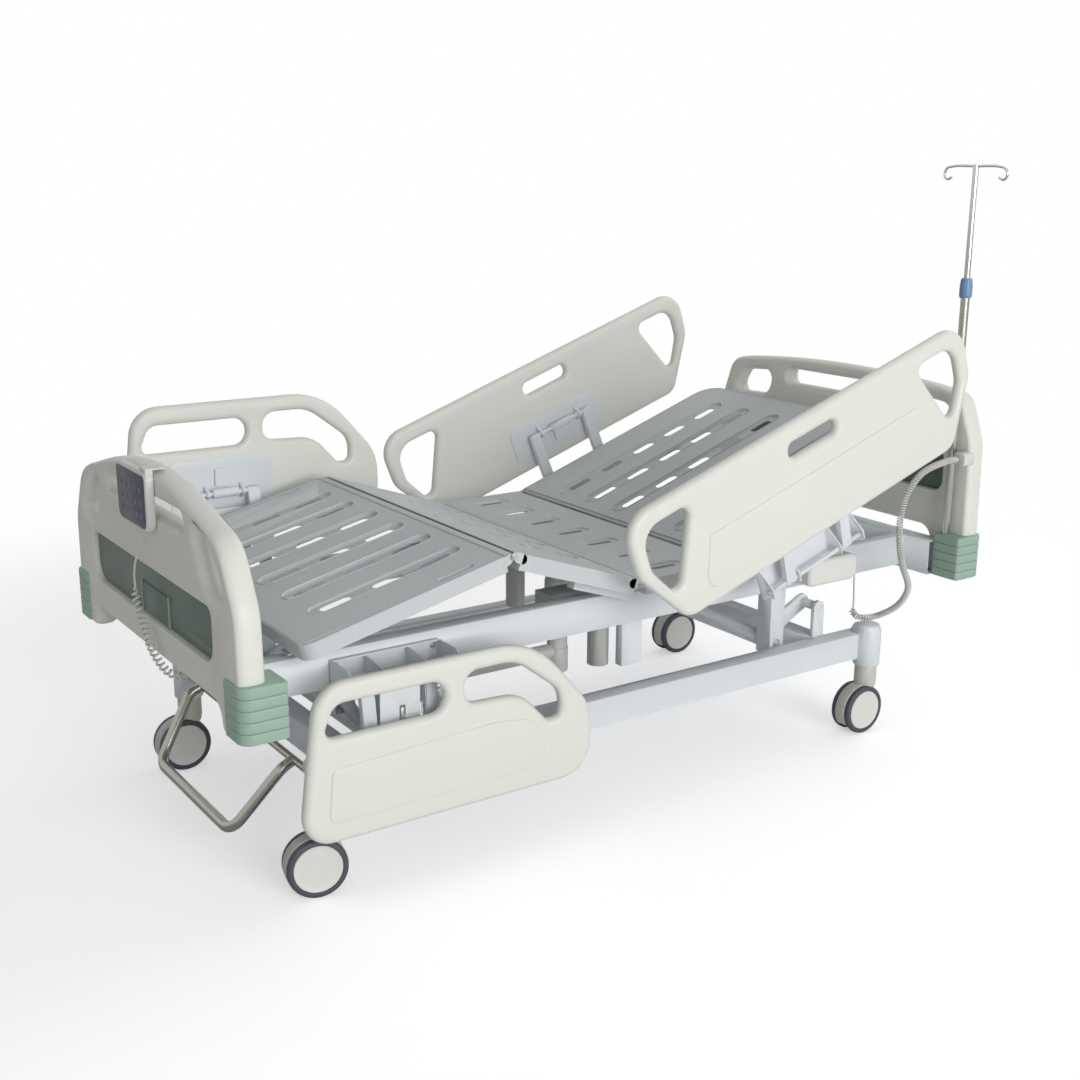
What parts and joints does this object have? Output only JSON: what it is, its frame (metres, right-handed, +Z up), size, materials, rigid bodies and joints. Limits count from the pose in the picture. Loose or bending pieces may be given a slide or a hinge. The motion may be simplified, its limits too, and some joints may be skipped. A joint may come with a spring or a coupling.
{
  "type": "hospital_bed",
  "caption": "Electric hospital bed with raised back and knee sections, off-white plastic head and foot boards, split siderails, green corner bumpers, swivel castors, IV pole and a wired handset",
  "frame": {"origin": "centre of the footprint on the floor", "axes": "+X to the head end, +Y to the far side of the picture, +Z up"},
  "size_m": [2.1231, 1.125, 1.4747],
  "materials": {
    "powder_coated_steel": "satin",
    "abs_off_white": "satin",
    "green_panel": "matte",
    "green_plastic": "satin",
    "stainless_steel": "polished",
    "grey_plastic": "satin",
    "tyre_rubber": "matte",
    "handset_plastic": "satin",
    "cord_plastic": "satin"
  },
  "bodies": {
    "base": {"base_rail_near": "powder_coated_steel", "base_rail_far": "powder_coated_steel", "base_beam_foot": "powder_coated_steel", "base_beam_head": "powder_coated_steel"},
    "pedal": {"brake_pedal": "stainless_steel"},
    "lift_head": {"lift_arm_head": "powder_coated_steel"},
    "lift_foot": {"lift_arm_foot": "powder_coated_steel"},
    "frame": {"frame_rail_near": "powder_coated_steel", "frame_rail_far": "powder_coated_steel", "frame_beam_foot": "powder_coated_steel", "frame_beam_head": "powder_coated_steel", "footboard": "abs_off_white", "footboard_panel": "green_panel", "headboard": "abs_off_white", "headboard_panel": "green_panel", "bumper_foot_near": "green_plastic", "bumper_foot_far": "green_plastic", "bumper_head_near": "green_plastic", "bumper_head_far": "green_plastic", "platform_seat": "powder_coated_steel", "siderail_foot_near_bracket": "powder_coated_steel", "siderail_foot_far_bracket": "powder_coated_steel", "control_box": "grey_plastic", "handset": "handset_plastic", "iv_pole_tube": "stainless_steel", "back_motor": "grey_plastic", "knee_motor": "grey_plastic", "lift_motor_foot": "grey_plastic", "lift_motor_head": "grey_plastic", "cord_handset_lead": "cord_plastic", "cord_handset_coil": "cord_plastic", "cord_power_lead": "cord_plastic", "cord_power_coil": "cord_plastic", "cord_power_plug": "cord_plastic"},
    "thigh": {"platform_thigh": "powder_coated_steel"},
    "calf": {"platform_calf": "powder_coated_steel"},
    "back": {"platform_back": "powder_coated_steel", "siderail_head_near_bracket": "powder_coated_steel", "siderail_head_far_bracket": "powder_coated_steel"},
    "back_rod": {"back_motor_rod": "stainless_steel"},
    "knee_rod": {"knee_motor_rod": "stainless_steel"},
    "lift_rod_foot": {"lift_motor_foot_rod": "stainless_steel"},
    "lift_rod_head": {"lift_motor_head_rod": "stainless_steel"},
    "pole_rod": {"iv_pole_rod": "stainless_steel"},
    "castor_foot_near": {"castor_hood_foot_near": "grey_plastic"},
    "wheel_foot_near": {"castor_wheel_foot_near": "tyre_rubber"},
    "castor_foot_far": {"castor_hood_foot_far": "grey_plastic"},
    "wheel_foot_far": {"castor_wheel_foot_far": "tyre_rubber"},
    "castor_head_near": {"castor_hood_head_near": "grey_plastic"},
    "wheel_head_near": {"castor_wheel_head_near": "tyre_rubber"},
    "castor_head_far": {"castor_hood_head_far": "grey_plastic"},
    "wheel_head_far": {"castor_wheel_head_far": "tyre_rubber"},
    "siderail_foot_near_arms": {"siderail_foot_near_arms": "powder_coated_steel"},
    "siderail_foot_near": {"siderail_foot_near": "abs_off_white"},
    "siderail_head_near_arms": {"siderail_head_near_arms": "powder_coated_steel"},
    "siderail_head_near": {"siderail_head_near": "abs_off_white"},
    "siderail_foot_far_arms": {"siderail_foot_far_arms": "powder_coated_steel"},
    "siderail_foot_far": {"siderail_foot_far": "abs_off_white"},
    "siderail_head_far_arms": {"siderail_head_far_arms": "powder_coated_steel"},
    "siderail_head_far": {"siderail_head_far": "abs_off_white"}
  },
  "joints": [
    {"name": "swivel_foot_near", "type": "hinge", "parent": "base", "child": "castor_foot_near", "pos_m": [-0.817, -0.385, 0.13], "axis": [0, 0, 1], "continuous": true},
    {"name": "roll_foot_near", "type": "hinge", "parent": "castor_foot_near", "child": "wheel_foot_near", "pos_m": [-0.84145, -0.3798, 0.065], "axis": [0.2079, 0.9781, 0], "continuous": true},
    {"name": "swivel_foot_far", "type": "hinge", "parent": "base", "child": "castor_foot_far", "pos_m": [-0.817, 0.385, 0.13], "axis": [0, 0, 1], "continuous": true},
    {"name": "roll_foot_far", "type": "hinge", "parent": "castor_foot_far", "child": "wheel_foot_far", "pos_m": [-0.842, 0.385, 0.065], "axis": [0, 1, 0], "continuous": true},
    {"name": "swivel_head_near", "type": "hinge", "parent": "base", "child": "castor_head_near", "pos_m": [0.773, -0.385, 0.13], "axis": [0, 0, 1], "continuous": true},
    {"name": "roll_head_near", "type": "hinge", "parent": "castor_head_near", "child": "wheel_head_near", "pos_m": [0.748, -0.385, 0.065], "axis": [0, 1, 0], "continuous": true},
    {"name": "swivel_head_far", "type": "hinge", "parent": "base", "child": "castor_head_far", "pos_m": [0.773, 0.385, 0.13], "axis": [0, 0, 1], "continuous": true},
    {"name": "roll_head_far", "type": "hinge", "parent": "castor_head_far", "child": "wheel_head_far", "pos_m": [0.748, 0.385, 0.065], "axis": [0, 1, 0], "continuous": true},
    {"name": "brake", "type": "hinge", "parent": "base", "child": "pedal", "pos_m": [-0.827, 0, 0.25], "axis": [0, 1, 0], "range_deg": [-12, 12]},
    {"name": "lift_head", "type": "hinge", "parent": "base", "child": "lift_head", "pos_m": [0.63795, 0, 0.35004], "axis": [0, 1, 0], "range_deg": [-7, 78]},
    {"name": "frame_level", "type": "hinge", "parent": "lift_head", "child": "frame", "pos_m": [0.498, 0, 0.275], "axis": [0, 1, 0], "range_deg": [-78.5, 7.5]},
    {"name": "lift_foot", "type": "hinge", "parent": "base", "child": "lift_foot", "pos_m": [-0.50905, 0, 0.35004], "axis": [0, 1, 0], "range_deg": [-7.5, 78.5]},
    {"name": "lift_stroke_foot", "type": "slide", "parent": "frame", "child": "lift_rod_foot", "axis": [1, 0, 0], "range_m": [-0.0105, 0.1135]},
    {"name": "lift_stroke_head", "type": "slide", "parent": "frame", "child": "lift_rod_head", "axis": [1, 0, 0], "range_m": [-0.0105, 0.1135]},
    {"name": "back", "type": "hinge", "parent": "frame", "child": "back", "pos_m": [0.218, 0, 0.556], "axis": [0, -1, 0], "range_deg": [-19.4, 55.6]},
    {"name": "back_stroke", "type": "slide", "parent": "frame", "child": "back_rod", "axis": [1, 0, 0], "range_m": [-0.036, 0.1017]},
    {"name": "thigh", "type": "hinge", "parent": "frame", "child": "thigh", "pos_m": [-0.052, 0, 0.556], "axis": [0, 1, 0], "range_deg": [-18.9, 12.6]},
    {"name": "calf", "type": "hinge", "parent": "thigh", "child": "calf", "pos_m": [-0.39354, 0, 0.67293], "axis": [0, 1, 0], "range_deg": [-22, 32.6]},
    {"name": "knee_stroke", "type": "slide", "parent": "frame", "child": "knee_rod", "axis": [-1, 0, 0], "range_m": [-0.033, 0.0222]},
    {"name": "rail_foot_near", "type": "hinge", "parent": "frame", "child": "siderail_foot_near_arms", "pos_m": [-0.719, -0.42, 0.465], "axis": [-1, 0, 0], "range_deg": [0, 156.5]},
    {"name": "rail_foot_near_level", "type": "hinge", "parent": "siderail_foot_near_arms", "child": "siderail_foot_near", "pos_m": [-0.719, -0.4155, 0.25405], "axis": [-1, 0, 0], "range_deg": [-157, 0.5]},
    {"name": "rail_head_near", "type": "hinge", "parent": "back", "child": "siderail_head_near_arms", "pos_m": [0.37384, -0.487, 0.50486], "axis": [0.9432, 0, 0.3322], "range_deg": [0, 168.5]},
    {"name": "rail_head_near_level", "type": "hinge", "parent": "siderail_head_near_arms", "child": "siderail_head_near", "pos_m": [0.3041, -0.508, 0.70289], "axis": [0.9432, 0, 0.3322], "range_deg": [-169, 0.5]},
    {"name": "rail_foot_far", "type": "hinge", "parent": "frame", "child": "siderail_foot_far_arms", "pos_m": [-0.719, 0.42, 0.465], "axis": [-1, 0, 0], "range_deg": [0, 156.5]},
    {"name": "rail_foot_far_level", "type": "hinge", "parent": "siderail_foot_far_arms", "child": "siderail_foot_far", "pos_m": [-0.719, 0.508, 0.65677], "axis": [-1, 0, 0], "range_deg": [-157, 0.5]},
    {"name": "rail_head_far", "type": "hinge", "parent": "back", "child": "siderail_head_far_arms", "pos_m": [0.37384, 0.487, 0.50486], "axis": [-0.9432, 0, -0.3322], "range_deg": [0, 168.5]},
    {"name": "rail_head_far_level", "type": "hinge", "parent": "siderail_head_far_arms", "child": "siderail_head_far", "pos_m": [0.3041, 0.508, 0.70289], "axis": [-0.9432, 0, -0.3322], "range_deg": [-169, 0.5]},
    {"name": "pole_slide", "type": "slide", "parent": "frame", "child": "pole_rod", "axis": [0, 0, 1], "range_m": [-0.22, 0.35]}
  ],
  "couplings": [
    {"joint": "frame_level", "follows": "lift_head", "ratio": -1},
    {"joint": "lift_foot", "follows": "lift_head", "ratio": 1},
    {"joint": "lift_stroke_foot", "follows": "lift_head", "m_per_rad": 0.0828},
    {"joint": "lift_stroke_head", "follows": "lift_head", "m_per_rad": 0.0828},
    {"joint": "back_stroke", "follows": "back", "m_per_rad": 0.10428},
    {"joint": "calf", "follows": "thigh", "ratio": -1.7},
    {"joint": "knee_stroke", "follows": "thigh", "m_per_rad": 0.099},
    {"joint": "rail_foot_near_level", "follows": "rail_foot_near", "ratio": -1},
    {"joint": "rail_head_near_level", "follows": "rail_head_near", "ratio": -1},
    {"joint": "rail_foot_far_level", "follows": "rail_foot_far", "ratio": -1},
    {"joint": "rail_head_far_level", "follows": "rail_head_far", "ratio": -1}
  ]
}
